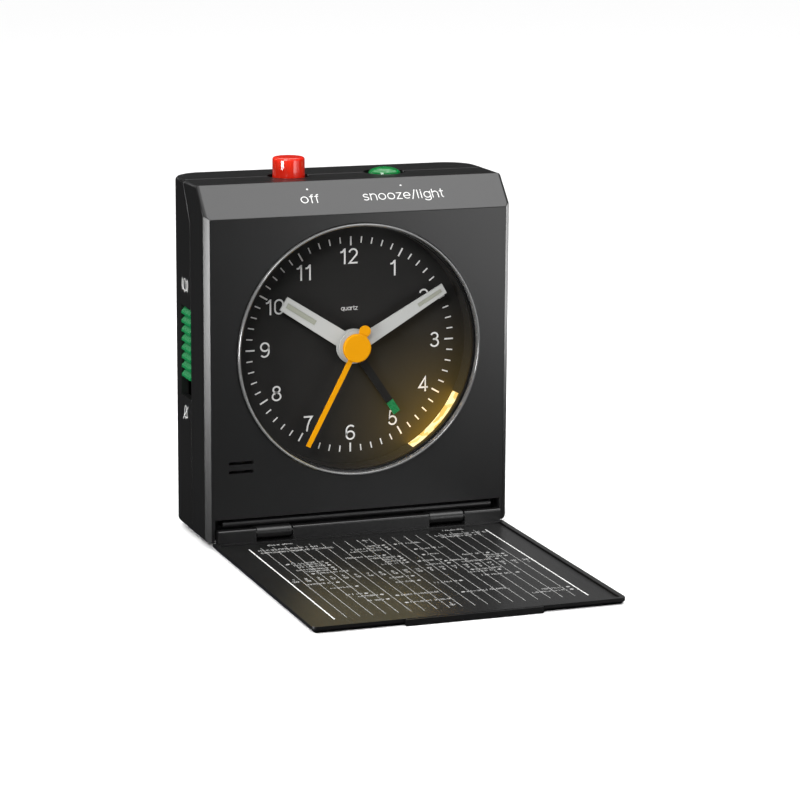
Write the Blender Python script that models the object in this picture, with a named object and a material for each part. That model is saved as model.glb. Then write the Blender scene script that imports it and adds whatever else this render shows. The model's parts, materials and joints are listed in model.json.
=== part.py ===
"""Folding travel alarm clock, built as separate pieces.

All sizes below are in millimetres and are turned into metres where meshes are made. While a piece is
being made, y = 0 is the plane of the case's front face, +Y points into the clock, z = 0 is the table and
x = 0 is the middle of the case. One empty carries every piece and puts the frame's origin under the
middle of the whole object, with its lid open on the table.
"""

import math

import bmesh
import bpy
from mathutils import Matrix, Vector

MM = 0.001

# ---- driving dimensions --------------------------------------------------------------------------
CASE_W = 70.0            # case width
CASE_H = 77.1            # case height without feet
CASE_D = 28.0            # case depth
WALL = 1.6               # case wall
FOOT_H = 1.5             # the case stands this high above the table
GAP = 0.3                # play between neighbouring pieces

FACE_H = 70.5            # height of the upright front face above the case's underside
SLOPE_RUN = 6.3          # depth of the sloped facet between the front face and the top
EDGE_CHAMFER = 1.25      # upright front edges
SIDE_EDGE_R = 0.9        # rounding where the sides meet the top, the slope and the underside
SOFT_EDGE = 0.25         # small rounding on the front half's other edges
SEAM_Y = 11.0            # depth of the seam between the two case halves, on the sides
SEAM_TOP_Y = 16.3        # depth of the seam on the top
SEAM_KINK_H = 68.3       # height at which the seam starts to lean back
BACK_CORNER_R = 7.0      # upright back corners, seen from above

DIAL_H = 40.6            # dial centre above the case's underside
DIAL_DEPTH = 6.3         # dial face behind the front face
SIGHT_R = 26.7           # radius of the visible dial well
LENS_R = 27.75
LENS_SEAT = 0.85         # depth of the lens's seat in the front face
LAMP_FROM, LAMP_TO = 115.8, 150.0   # clock angles between which the dial well is lit

BUTTON_X = 11.1          # each push button's distance from the middle
BUTTON_Y = 15.8
BUTTON_R = 3.55
WELL_R = 4.65            # dished hole round each button
WELL_DEPTH = 1.4
OFF_PROUD = 4.15         # how far the off button stands up, and how far it travels
OFF_TRAVEL = 1.8
SNOOZE_PROUD = 1.1
SNOOZE_TRAVEL = 0.8

SLOT_Y = (11.3, 18.4)    # slider slot in the left wall
SLOT_H = (29.5, 49.5)
SLIDER_TRAVEL = 3.4
SLIDER_TEETH = 8

LID_W = 67.2
LID_REACH = 68.5         # free edge of the lid in front of the front face
LID_T = 1.4
LID_RIM = 1.1
LID_FLOOR = 0.8
LABEL_END = -2.0         # hinge end of the label's recess
TAB_X = (-14.3, 15.1)    # finger tab on the lid's free edge
HINGE_Y = -0.2
HINGE_H = 1.5            # hinge axis above the case's underside
BLOCK_R = 1.4            # half the thickness of the lid's hinge blocks
KNUCKLE_R = 1.3
PIN_R = 0.6
RECESS_W, RECESS_H, RECESS_D = 66.0, 5.0, 3.2
KNUCKLE_X = (16.1, 23.9)
BLOCK_END = 32.7         # outer end of the lid's outer hinge blocks

HOUR_ANGLE = 302.95      # clock angles of the hands in the rest pose
MINUTE_ANGLE = 60.15
SECOND_ANGLE = 207.7
ALARM_ANGLE = 145.9

BATTERY_R, BATTERY_L = 7.25, 50.5
BATTERY_H = 11.1         # battery axis above the case's underside
BATTERY_Y = 18.4

# ---- derived heights -----------------------------------------------------------------------------
BASE = FOOT_H
TOP = BASE + CASE_H
FACE_TOP = BASE + FACE_H
KINK = BASE + SEAM_KINK_H
DIAL_Z = BASE + DIAL_H
HINGE_Z = BASE + HINGE_H
HALF_W = CASE_W / 2
FRAME_SHIFT = (LID_REACH + 0.6 - CASE_D) / 2     # 0.6 is the tab in front of the lid's edge

# ---- wheel train: teeth and modules --------------------------------------------------------------
ROTOR_PINION, FIFTH_WHEEL = 6, 36
FIFTH_PINION, SECOND_WHEEL = 6, 30
SECOND_PINION, THIRD_WHEEL = 6, 45
THIRD_PINION, CENTRE_WHEEL = 6, 48
CANNON_PINION, MINUTE_WHEEL = 8, 24
MINUTE_PINION, HOUR_WHEEL = 8, 32
ALARM_PINION, ALARM_WHEEL = 20, 32
SETTING_PINION = 8
THIRD_DISTANCE, FIFTH_DISTANCE, ROTOR_DISTANCE = 6.12, 5.4, 4.62
MOTION_DISTANCE, ALARM_DISTANCE, SETTING_DISTANCE = 6.0, 7.8, 6.0
THIRD_AT, FIFTH_AT, ROTOR_AT, MOTION_AT, ALARM_AT = 200.0, 320.0, 300.0, 120.0, 270.0
WHEEL_T = 0.6
LAYER = {"alarm": 9.6, "hour": 10.7, "minute": 12.0, "centre": 13.4, "third": 15.0, "second": 16.4,
         "fifth": 17.7}


# ---- scene helpers -------------------------------------------------------------------------------
def clear_scene():
    for item in list(bpy.data.objects):
        bpy.data.objects.remove(item, do_unlink=True)


MATERIALS = {
    "case": ((0.012, 0.012, 0.013), 0.55, 0.0),
    "lid": ((0.016, 0.016, 0.017), 0.5, 0.0),
    "dial": ((0.006, 0.006, 0.006), 0.5, 0.0),
    "lens": ((0.9, 0.92, 0.92), 0.05, 0.0),
    "hand": ((0.62, 0.64, 0.64), 0.4, 0.0),
    "lume": ((0.72, 0.75, 0.55), 0.6, 0.0),
    "yellow": ((0.95, 0.48, 0.02), 0.4, 0.0),
    "black": ((0.01, 0.01, 0.01), 0.45, 0.0),
    "green": ((0.0, 0.22, 0.07), 0.35, 0.0),
    "red": ((0.75, 0.02, 0.01), 0.25, 0.0),
    "amber": ((0.9, 0.62, 0.12), 0.3, 0.0),
    "movement": ((0.55, 0.55, 0.52), 0.5, 0.0),
    "brass": ((0.7, 0.52, 0.22), 0.35, 1.0),
    "steel": ((0.6, 0.6, 0.6), 0.3, 1.0),
    "copper": ((0.7, 0.3, 0.15), 0.35, 1.0),
    "board": ((0.02, 0.2, 0.06), 0.5, 0.0),
    "rubber": ((0.02, 0.02, 0.02), 0.9, 0.0),
    "label": ((0.03, 0.03, 0.03), 0.5, 0.0),
}


def material(name):
    found = bpy.data.materials.get(name)
    if found:
        return found
    colour, roughness, metallic = MATERIALS[name]
    made = bpy.data.materials.new(name)
    made.use_nodes = True
    shader = made.node_tree.nodes["Principled BSDF"]
    shader.inputs["Base Color"].default_value = (*colour, 1.0)
    shader.inputs["Roughness"].default_value = roughness
    shader.inputs["Metallic"].default_value = metallic
    return made


def mesh_object(name, bm, finish, origin=(0.0, 0.0, 0.0), turn=0.0):
    """A named object from a bmesh in millimetres. Its origin goes to origin, and turn is a clock angle
    about +Y for a piece that was drawn pointing at 12 o'clock round its own origin."""
    if turn == 0.0:
        bmesh.ops.translate(bm, vec=-Vector(origin), verts=bm.verts)
    bmesh.ops.recalc_face_normals(bm, faces=bm.faces)
    bmesh.ops.transform(bm, matrix=Matrix.Scale(MM, 4), verts=bm.verts)
    mesh = bpy.data.meshes.new(name)
    bm.to_mesh(mesh)
    bm.free()
    made = bpy.data.objects.new(name, mesh)
    bpy.context.collection.objects.link(made)
    made.data.materials.append(material(finish))
    made.location = Vector(origin) * MM
    made.rotation_euler = (0.0, math.radians(turn), 0.0)
    made.parent = bpy.data.objects["clock_frame"]
    return made


def tool_object(name, bm):
    """A cutter or a shape to add: it is hidden from the finished model."""
    made = mesh_object(name, bm, "case")
    made.hide_render = True
    made.display_type = "WIRE"
    return made


def boolean(target, bm, how):
    tool = tool_object(f"tool_{target.name}_{len(target.modifiers)}", bm)
    step = target.modifiers.new(how.lower(), "BOOLEAN")
    step.operation = how
    step.solver = "EXACT"
    step.object = tool
    return tool


def cut(target, bm):
    return boolean(target, bm, "DIFFERENCE")


def add(target, bm):
    return boolean(target, bm, "UNION")


# ---- shapes --------------------------------------------------------------------------------------
AXES = {"x": (0, 1, 2), "y": (1, 2, 0), "z": (2, 0, 1)}


def at(axis, along, u, v):
    """A point from a distance along an axis and the two coordinates across it: x, y, z order is kept,
    so across x they are (y, z), across y they are (x, z) and across z they are (x, y)."""
    if axis == "x":
        return Vector((along, u, v))
    if axis == "y":
        return Vector((u, along, v))
    return Vector((u, v, along))


def prism(outline, axis, low, high, bm=None):
    """An outline across an axis, carried along it from low to high."""
    bm = bm or bmesh.new()
    first = [bm.verts.new(at(axis, low, u, v)) for u, v in outline]
    last = [bm.verts.new(at(axis, high, u, v)) for u, v in outline]
    bm.faces.new(first)
    bm.faces.new(list(reversed(last)))
    for i in range(len(outline)):
        j = (i + 1) % len(outline)
        bm.faces.new((first[j], first[i], last[i], last[j]))
    return bm


def box(low, high, bm=None):
    outline = [(low[0], low[1]), (high[0], low[1]), (high[0], high[1]), (low[0], high[1])]
    return prism(outline, "z", low[2], high[2], bm)


def arc(centre, radius, start, stop, steps):
    """Points on an arc, angles in degrees counter-clockwise from the first coordinate."""
    turns = [math.radians(start + (stop - start) * i / steps) for i in range(steps + 1)]
    return [(centre[0] + radius * math.cos(t), centre[1] + radius * math.sin(t)) for t in turns]


def circle(centre, radius, sides):
    return arc(centre, radius, 0, 360, sides)[:-1]


def rod(axis, centre, radius, low, high, sides=24, bm=None):
    return prism(circle(centre, radius, sides), axis, low, high, bm)


def turned(profile, axis, centre, sides, bm=None):
    """A closed profile of (radius, distance along the axis) turned about an axis. Points with no
    radius are drawn together into one."""
    bm = bm or bmesh.new()
    rings = []
    for radius, along in profile:
        if radius == 0:
            rings.append([bm.verts.new(at(axis, along, *centre))])
        else:
            rings.append([bm.verts.new(at(axis, along, *p)) for p in circle(centre, radius, sides)])
    for a, b in zip(rings, rings[1:] + rings[:1]):
        for i in range(sides):
            j = (i + 1) % sides
            corners = [a[i % len(a)], a[j % len(a)], b[j % len(b)], b[i % len(b)]]
            unique = list(dict.fromkeys(corners))
            if len(unique) > 2:
                bm.faces.new(unique)
    return bm


def tube(axis, centre, inner, outer, low, high, sides, bm=None):
    return turned([(inner, low), (outer, low), (outer, high), (inner, high)], axis, centre, sides, bm)


def round_edges(bm, chosen, radius, steps):
    """Bevels the edges whose two ends satisfy chosen."""
    edges = [e for e in bm.edges if chosen(e.verts[0].co, e.verts[1].co)]
    bmesh.ops.bevel(bm, geom=edges, offset=radius, segments=steps, profile=0.5, affect="EDGES",
                    clamp_overlap=True)
    return bm


def soften(bm, radius, steps):
    """Rounds every edge between faces that meet at more than 40 degrees."""
    bm.normal_update()
    edges = [e for e in bm.edges if e.calc_face_angle() > math.radians(40)]
    bmesh.ops.bevel(bm, geom=edges, offset=radius, segments=steps, profile=0.5, affect="EDGES",
                    clamp_overlap=True)


def clock_point(angle, distance):
    """The (x, z) at a clock angle and a distance from the dial's centre."""
    t = math.radians(angle)
    return (distance * math.sin(t), DIAL_Z + distance * math.cos(t))


def shifted(point, angle, distance):
    t = math.radians(angle)
    return (point[0] + distance * math.sin(t), point[1] + distance * math.cos(t))


# ---- case ----------------------------------------------------------------------------------------
def wall_line(inset):
    """Outer side outline of the whole case, moved in by inset: front bottom, front top, slope top."""
    run, rise = SLOPE_RUN, TOP - FACE_TOP
    length = math.hypot(run, rise)
    on_slope = (inset * rise / length, FACE_TOP - inset * run / length)
    front_top = on_slope[1] + (inset - on_slope[0]) * rise / run
    slope_top = on_slope[0] + (TOP - inset - on_slope[1]) * run / rise
    return [(inset, BASE + inset), (inset, front_top), (slope_top, TOP - inset)]


def seam_line(shift):
    """The seam's side outline, from the underside to the top."""
    return [(SEAM_Y + shift, BASE), (SEAM_Y + shift, KINK), (SEAM_TOP_Y + shift, TOP)]


def button_block(side, front):
    """Material under the top wall for the button's hole, on one side of the seam."""
    reach = (SEAM_TOP_Y - 6.3, SEAM_TOP_Y - 1.1) if front else (SEAM_TOP_Y - 0.8, SEAM_TOP_Y + 5.7)
    x = side * BUTTON_X
    return box((x - 6.2, reach[0], TOP - 3.3), (x + 6.2, reach[1], TOP - 1.3))


def button_holes(target):
    for side in (-1, 1):
        centre = (side * BUTTON_X, BUTTON_Y)
        cut(target, rod("z", centre, WELL_R, TOP - WELL_DEPTH, TOP + 2, 32))
        cut(target, rod("z", centre, BUTTON_R + 0.2, TOP - 5, TOP - WELL_DEPTH + 0.5, 32))


SCREWS = {"screw_1": (-30.9, 22.4), "screw_2": (30.9, 22.4), "screw_3": (-30.9, 62.0),
          "screw_4": (30.9, 62.0)}


def front_case():
    outer = wall_line(0.0)
    seam = seam_line(-GAP / 2)
    outline = [outer[0], seam[0], seam[1], seam[2], outer[2], outer[1]]
    body = prism(outline, "x", -HALF_W, HALF_W)
    round_edges(body, lambda a, b: a.y < 0.01 and b.y < 0.01 and abs(a.x - b.x) < 0.01,
                EDGE_CHAMFER, 1)
    round_edges(body, lambda a, b: abs(a.x) > HALF_W - 0.01 and abs(a.x - b.x) < 0.01
                and min(a.y, b.y) < SEAM_Y - 1 and abs(a.z - b.z) < FACE_H / 2, SIDE_EDGE_R, 3)
    soften(body, SOFT_EDGE, 2)
    case = mesh_object("front_case", body, "case")

    inner = wall_line(WALL)
    room = [inner[0], (SEAM_TOP_Y + 4, inner[0][1]), (SEAM_TOP_Y + 4, TOP - WALL), inner[2], inner[1]]
    cut(case, prism(room, "x", WALL - HALF_W, HALF_W - WALL))

    add(case, box((-34.2, 0.9, BASE + 0.4), (34.2, RECESS_D + 1.6, BASE + RECESS_H + 1.6)))
    cut(case, box((-RECESS_W / 2, -2, BASE - 2), (RECESS_W / 2, RECESS_D, BASE + RECESS_H)))
    hinge_bar(case)
    for side in (-1, 1):
        knuckle(case, side)
    for side in (-1, 1):
        add(case, button_block(side, True))
    for x, height in SCREWS.values():
        add(case, rod("y", (x, BASE + height), 2.3, 1.0, SEAM_Y - GAP / 2, 20))
        cut(case, rod("y", (x, BASE + height), 0.85, 4.5, SEAM_Y + 1, 12))
    cut(case, rod("y", (0, DIAL_Z), SIGHT_R + 0.2, -2, 4, 60))
    cut(case, rod("y", (0, DIAL_Z), LENS_R + 0.2, -2, LENS_SEAT, 60))
    for height in (15.4, 17.35):
        cut(case, box((-29.8, -2, BASE + height - 0.35), (-24.3, 3, BASE + height + 0.35)))
    button_holes(case)
    return case


def hinge_bar(case):
    """The rounded bar over the lid's barrels, with its ends clear of the recess."""
    low, high = BASE + 3.1, BASE + 4.4
    middle, radius = (low + high) / 2, (high - low) / 2
    outline = [(RECESS_D + 0.4, low)] + arc((0.3 + radius, middle), radius, 270, 90, 6)
    outline.append((RECESS_D + 0.4, high))
    add(case, prism(outline, "x", -31.1, 31.1))


def knuckle(case, side):
    """A fixed hinge knuckle between two of the lid's barrels."""
    low, high = sorted((side * KNUCKLE_X[0], side * KNUCKLE_X[1]))
    middle = (HINGE_Y, HINGE_Z + 0.2)
    outline = arc(middle, KNUCKLE_R, 90, 270, 12)
    outline += [(RECESS_D + 0.4, middle[1] - KNUCKLE_R), (RECESS_D + 0.4, middle[1] + KNUCKLE_R)]
    add(case, prism(outline, "x", low, high))
    cut(case, rod("x", (HINGE_Y, HINGE_Z), PIN_R + 0.08, low - 1, high + 1, 16))


def back_plan(inset):
    """Outline of the case's back, seen from above and moved in by inset."""
    deep, corner, half = CASE_D - inset, BACK_CORNER_R - inset, HALF_W - inset
    plan = [(-half, -5), (half, -5)] + arc((half - corner, deep - corner), corner, 0, 90, 9)
    return plan + arc((corner - half, deep - corner), corner, 90, 180, 9)


def back_block():
    """The case's rounded back, running forward past the seam: outlines stacked up its height."""
    turns = [math.radians(t) for t in (90, 60, 30, 0)]
    edge = [(SIDE_EDGE_R * (1 - math.cos(t)), SIDE_EDGE_R * (1 - math.sin(t))) for t in turns]
    levels = [(inset, BASE + up) for inset, up in edge]
    levels += [(inset, TOP - down) for inset, down in reversed(edge)]
    block = bmesh.new()
    rings = [[block.verts.new((x, y, z)) for x, y in back_plan(inset)] for inset, z in levels]
    block.faces.new(reversed(rings[0]))
    block.faces.new(rings[-1])
    for low, high in zip(rings, rings[1:]):
        for i in range(len(low)):
            j = (i + 1) % len(low)
            block.faces.new((low[i], low[j], high[j], high[i]))
    return block


def behind(bm, point, normal):
    """Keeps what lies on the normal's side of a plane and closes the opening."""
    whole = bm.verts[:] + bm.edges[:] + bm.faces[:]
    cut_line = bmesh.ops.bisect_plane(bm, geom=whole, plane_co=point, plane_no=normal, clear_inner=True)
    edges = [e for e in cut_line["geom_cut"] if isinstance(e, bmesh.types.BMEdge)]
    bmesh.ops.holes_fill(bm, edges=edges, sides=0)


def rear_case():
    body = back_block()
    bottom, kink, top = seam_line(GAP / 2)
    behind(body, (0, *bottom), (0, 1, 0))
    behind(body, (0, *kink), (0, top[1] - kink[1], kink[0] - top[0]))
    case = mesh_object("rear_case", body, "case")
    room = cut(case, prism(back_plan(WALL), "z", BASE + WALL, TOP - WALL))
    for side in (-1, 1):
        cut(room, button_block(side, False))
    for x, height in SCREWS.values():
        cut(room, rod("y", (x, BASE + height), 2.9, SEAM_Y + 0.5, CASE_D, 20))
    for x, z, radius in (TIME_KNOB, ALARM_KNOB):
        cut(room, rod("y", (x, z), radius + 1.9, CASE_D - 4.8, CASE_D, 32))
    cut(room, box((-29.3, 10.0, BASE), (29.3, CASE_D, BASE + 19.8)))

    for x, height in SCREWS.values():
        cut(case, rod("y", (x, BASE + height), 2.15, 12.5, CASE_D + 2, 20))
        cut(case, rod("y", (x, BASE + height), 1.0, SEAM_Y - 1, 13.0, 12))
    for x, z, radius in (TIME_KNOB, ALARM_KNOB):
        cut(case, rod("y", (x, z), radius + 0.6, CASE_D - 3.2, CASE_D + 2, 40))
        cut(case, rod("y", (x, z), 1.45, CASE_D - 6, CASE_D - 3.0, 16))
    cut(case, box((-28.2, 11.0, BASE + 3.4), (28.2, CASE_D + 3, BASE + 18.8)))
    cut(case, box((-29.3, CASE_D - 1.4, BASE + 2.9), (29.3, CASE_D + 3, BASE + 19.3)))
    cut(case, box((-HALF_W - 2, SEAM_Y - 2, BASE + SLOT_H[0]),
                  (WALL - HALF_W + 0.5, SLOT_Y[1], BASE + SLOT_H[1])))
    button_holes(case)
    return case


def feet():
    for name, x, y in (("foot_front_left", -27, 7.0), ("foot_front_right", 27, 7.0),
                       ("foot_rear_left", -27, 21.5), ("foot_rear_right", 27, 21.5)):
        pad = turned([(0, 0), (2.9, 0), (3.3, 0.4), (3.3, FOOT_H - 0.12), (0, FOOT_H - 0.12)],
                     "z", (x, y), 20)
        mesh_object(name, pad, "rubber", (x, y, 0))


def screws():
    for name, (x, height) in SCREWS.items():
        head = turned([(0, 5.0), (0.72, 5.0), (0.72, 12.7), (1.85, 12.7), (1.85, 13.7), (0, 13.7)],
                      "y", (x, BASE + height), 16)
        made = mesh_object(name, head, "steel", (x, 12.7, BASE + height))
        arms = [(1.3, 0.2), (0.2, 0.2), (0.2, 1.3), (-0.2, 1.3), (-0.2, 0.2), (-1.3, 0.2)]
        arms += [(-u, -v) for u, v in arms]
        cut(made, prism([(x + u, BASE + height + v) for u, v in arms], "y", 13.2, 15))


def battery_door():
    low, high = BASE + 3.2, BASE + 19.0
    plate = box((-29.0, CASE_D - 1.1, low), (29.0, CASE_D - 0.1, high))
    door = mesh_object("battery_door", plate, "case", (0, CASE_D - 1.1, (low + high) / 2))
    for i in range(5):
        z = high - 3.0 - 1.1 * i
        cut(door, box((-5, CASE_D - 0.5, z), (5, CASE_D + 1, z + 0.5)))
    return door


# ---- dial group ----------------------------------------------------------------------------------
def lens():
    profile = [(0, -0.3), (26.6, -0.3), (26.95, -0.85), (27.45, -0.85), (LENS_R, -0.6),
               (LENS_R, 0.6), (0, 0.6)]
    return mesh_object("lens", turned(profile, "y", (0, DIAL_Z), 60), "lens", (0, 0, DIAL_Z))


def well_sector(inner, outer, start, stop, steps=8):
    """An outline in (x, z) between two radii and two clock angles."""
    turns = [start + (stop - start) * i / steps for i in range(steps + 1)]
    near = [clock_point(t, inner) for t in turns]
    far = [clock_point(t, outer) for t in reversed(turns)]
    return near + far


def dial_ring():
    ring = mesh_object("dial_ring", tube("y", (0, DIAL_Z), SIGHT_R, 28.3, WALL + 0.2,
                                         DIAL_DEPTH - 0.1, 60), "dial", (0, 0, DIAL_Z))
    window = well_sector(SIGHT_R - 2, 33, LAMP_FROM, LAMP_TO)
    cut(ring, prism(window, "y", WALL + 0.8, DIAL_DEPTH + 1))
    return ring


def light_guide():
    block = well_sector(SIGHT_R + 0.05, 30.8, LAMP_FROM + 0.4, LAMP_TO - 0.4)
    return mesh_object("light_guide", prism(block, "y", WALL + 0.9, DIAL_DEPTH - 0.15), "amber")


def lamp():
    x, z = clock_point((LAMP_FROM + LAMP_TO) / 2, 33.0)
    return mesh_object("lamp", turned([(0, 2.6), (0.9, 2.8), (1.5, 3.4), (1.5, 7.0), (0, 7.0)],
                                      "y", (x, z), 16), "amber", (x, 3.4, z))


def dial_plate():
    plate = tube("y", (0, DIAL_Z), 2.45, 28.3, DIAL_DEPTH, DIAL_DEPTH + 0.9, 60)
    return mesh_object("dial_plate", plate, "dial", (0, DIAL_DEPTH, DIAL_Z))


# ---- hands: drawn pointing at 12 round their own origin, then turned -----------------------------
def hand_blank(length, root_w, tip_w, hub_r):
    """A baton hand's outline in (x, z): tapered blade and round hub."""
    spread = math.degrees(math.asin(root_w / 2 / hub_r))
    outline = [(tip_w / 2, length)] + arc((0, 0), hub_r, 90 - spread, spread - 270, 20)
    outline.append((-tip_w / 2, length))
    return outline


def hand_with_hole(name, outline, low, high, hole, finish, angle, pocket=None):
    made = mesh_object(name, prism(outline, "y", low, high), finish, (0, 0, DIAL_Z), angle)
    if hole:
        at_centre(made, rod("y", (0, 0), hole, low - 1, high + 1, 20), "DIFFERENCE")
    if pocket:
        at_centre(made, prism(pocket, "y", low - 1, high - 0.2), "DIFFERENCE", angle)
    return made


def at_centre(target, bm, how, turn=0.001):
    """A Boolean with a shape drawn round the dial's centre and turned with the hand."""
    tool = mesh_object(f"tool_{target.name}_{len(target.modifiers)}", bm, "case", (0, 0, DIAL_Z), turn)
    tool.hide_render = True
    tool.display_type = "WIRE"
    step = target.modifiers.new(how.lower(), "BOOLEAN")
    step.operation = how
    step.solver = "EXACT"
    step.object = tool


def strip(width, start, stop):
    return [(-width / 2, start), (width / 2, start), (width / 2, stop), (-width / 2, stop)]


def hands():
    hand_with_hole("alarm_hand", hand_blank(15.7, 1.75, 1.7, 2.9), 5.3, 5.7, 1.65, "black",
                   ALARM_ANGLE)
    mesh_object("alarm_hand_tip", prism(strip(1.7, 15.8, 18.9), "y", 5.3, 5.7), "green",
                (0, 0, DIAL_Z), ALARM_ANGLE)
    hand_with_hole("hour_hand", hand_blank(19.0, 3.7, 3.3, 3.9), 4.2, 4.65, 1.05, "hand",
                   HOUR_ANGLE, strip(1.2, 10.4, 18.2))
    mesh_object("hour_lume", prism(strip(1.1, 10.45, 18.15), "y", 4.22, 4.42), "lume",
                (0, 0, DIAL_Z), HOUR_ANGLE)
    hand_with_hole("minute_hand", hand_blank(23.9, 3.2, 2.35, 3.6), 3.25, 3.65, 0.5, "hand",
                   MINUTE_ANGLE, strip(0.9, 16.9, 23.1))
    mesh_object("minute_lume", prism(strip(0.8, 16.95, 23.05), "y", 3.27, 3.42), "lume",
                (0, 0, DIAL_Z), MINUTE_ANGLE)
    second_hand()


def second_hand():
    """Needle, large round hub and a small round tail lobe."""
    outline = [(0.5, 24.0)] + arc((0, 0), 1.6, 70, -70, 8) + arc((0, -4.05), 1.3, 30, -210, 12)
    outline += arc((0, 0), 1.6, 250, 110, 8) + [(-0.5, 24.0)]
    hand = mesh_object("second_hand", prism(outline, "y", 1.95, 2.3), "yellow", (0, 0, DIAL_Z),
                       SECOND_ANGLE)
    hub = turned([(0, 1.45), (2.95, 1.45), (3.15, 1.6), (3.15, 2.35), (0, 2.35)], "y", (0, 0), 32)
    at_centre(hand, hub, "UNION")


# ---- movement ------------------------------------------------------------------------------------
def gear_outline(teeth, spacing, module, facing):
    """A toothed outline round (0, 0); facing is the clock angle of the middle of one tooth."""
    pitch_r, step = teeth * module / 2, 360.0 / teeth
    root_r, tip_r = pitch_r - 1.0 * module, pitch_r + 0.75 * module
    root_half, tip_half = 0.29 * step, 0.11 * step
    outline = []
    for i in range(teeth):
        middle = facing + i * step + spacing * step / 2
        for radius, turn in ((root_r, -root_half), (tip_r, -tip_half), (tip_r, tip_half),
                             (root_r, root_half)):
            t = math.radians(middle + turn)
            outline.append((radius * math.sin(t), radius * math.cos(t)))
    return outline


def wheel(bm, centre, teeth, module, facing, low, between=0, thick=WHEEL_T):
    """Adds a gear at (x, z). facing points along the line to its mate; between = 1 puts a gap there
    and not a tooth."""
    outline = gear_outline(teeth, between, module, facing)
    outline = [(centre[0] + u, centre[1] + v) for u, v in outline]
    return prism(outline, "y", low, low + thick, bm)


def arbor_piece(name, centre, wheels, shaft_r, span, finish):
    """One turning piece: toothed wheels joined by a shaft. wheels are (teeth, module, facing, low,
    between, thickness)."""
    shaft = rod("y", centre, shaft_r, span[0], span[1], 14)
    made = mesh_object(name, shaft, finish, (centre[0], span[0], centre[1]))
    for teeth, module, facing, low, between, thick in wheels:
        add(made, wheel(None, centre, teeth, module, facing, low, between, thick))
    return made


def tube_wheel(name, teeth, module, facing, low, between, tube_r, span, extra=None):
    """A wheel on a tube round the dial's centre line, with the tube's bore cut through both."""
    inner, outer = tube_r
    centre = (0, DIAL_Z)
    made = mesh_object(name, rod("y", centre, outer, span[0], span[1], 20), "brass",
                       (0, span[0], DIAL_Z))
    add(made, wheel(None, centre, teeth, module, facing, low, between))
    if extra:
        add(made, wheel(None, centre, *extra))
    cut(made, rod("y", centre, inner, span[0] - 1, span[1] + 1, 20))
    return made


THIRD = clock_point(THIRD_AT, THIRD_DISTANCE)
FIFTH = clock_point(FIFTH_AT, FIFTH_DISTANCE)
ROTOR = shifted(FIFTH, ROTOR_AT, ROTOR_DISTANCE)
MOTION = clock_point(MOTION_AT, MOTION_DISTANCE)
SETTING = shifted(MOTION, MOTION_AT, SETTING_DISTANCE)
ALARM = clock_point(ALARM_AT, ALARM_DISTANCE)
TIME_KNOB = (*SETTING, 5.5)
ALARM_KNOB = (*ALARM, 4.4)


def module_for(distance, a, b):
    return 2 * distance / (a + b)


def wheel_train():
    m_third = module_for(THIRD_DISTANCE, SECOND_PINION, THIRD_WHEEL)
    m_centre = module_for(THIRD_DISTANCE, THIRD_PINION, CENTRE_WHEEL)
    m_second = module_for(FIFTH_DISTANCE, FIFTH_PINION, SECOND_WHEEL)
    m_fifth = module_for(ROTOR_DISTANCE, ROTOR_PINION, FIFTH_WHEEL)
    m_minute = module_for(MOTION_DISTANCE, CANNON_PINION, MINUTE_WHEEL)
    m_hour = module_for(MOTION_DISTANCE, MINUTE_PINION, HOUR_WHEEL)
    m_alarm = module_for(ALARM_DISTANCE, ALARM_PINION, ALARM_WHEEL)
    centre = (0, DIAL_Z)
    arbor_piece("second_wheel", centre,
                [(SECOND_PINION, m_third, THIRD_AT, LAYER["third"] - 0.1, 0, 0.8),
                 (SECOND_WHEEL, m_second, FIFTH_AT, LAYER["second"], 0, WHEEL_T)],
                0.35, (2.45, 18.9), "steel")
    arbor_piece("third_wheel", THIRD,
                [(THIRD_WHEEL, m_third, THIRD_AT + 180, LAYER["third"], 1, WHEEL_T),
                 (THIRD_PINION, m_centre, THIRD_AT + 180, LAYER["centre"] - 0.1, 0, 0.8)],
                0.4, (10.2, 18.9), "brass")
    arbor_piece("fifth_wheel", FIFTH,
                [(FIFTH_PINION, m_second, FIFTH_AT + 180, LAYER["second"] - 0.1, 1, 0.8),
                 (FIFTH_WHEEL, m_fifth, ROTOR_AT, LAYER["fifth"], 1, WHEEL_T)],
                0.4, (15.2, 18.9), "brass")
    rotor = arbor_piece("rotor", ROTOR,
                        [(ROTOR_PINION, m_fifth, ROTOR_AT + 180, LAYER["fifth"] - 0.1, 0, 0.8)],
                        0.35, (10.2, 18.9), "steel")
    add(rotor, rod("y", ROTOR, 2.0, 12.8, 16.4, 20))
    tube_wheel("centre_wheel", CENTRE_WHEEL, m_centre, THIRD_AT, LAYER["centre"], 1, (0.5, 0.9),
               (3.75, 14.6), (CANNON_PINION, m_minute, MOTION_AT, LAYER["minute"], 0))
    tube_wheel("hour_wheel", HOUR_WHEEL, m_hour, MOTION_AT, LAYER["hour"], 1, (1.05, 1.5),
               (4.75, 11.7))
    tube_wheel("alarm_wheel", ALARM_WHEEL, m_alarm, ALARM_AT, LAYER["alarm"], 1, (1.65, 2.1),
               (5.8, 10.4))
    arbor_piece("minute_wheel", MOTION,
                [(MINUTE_WHEEL, m_minute, MOTION_AT + 180, LAYER["minute"], 1, WHEEL_T),
                 (MINUTE_PINION, m_hour, MOTION_AT + 180, LAYER["hour"] - 0.1, 0, 0.8)],
                0.5, (9.3, 13.1), "brass")


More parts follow.
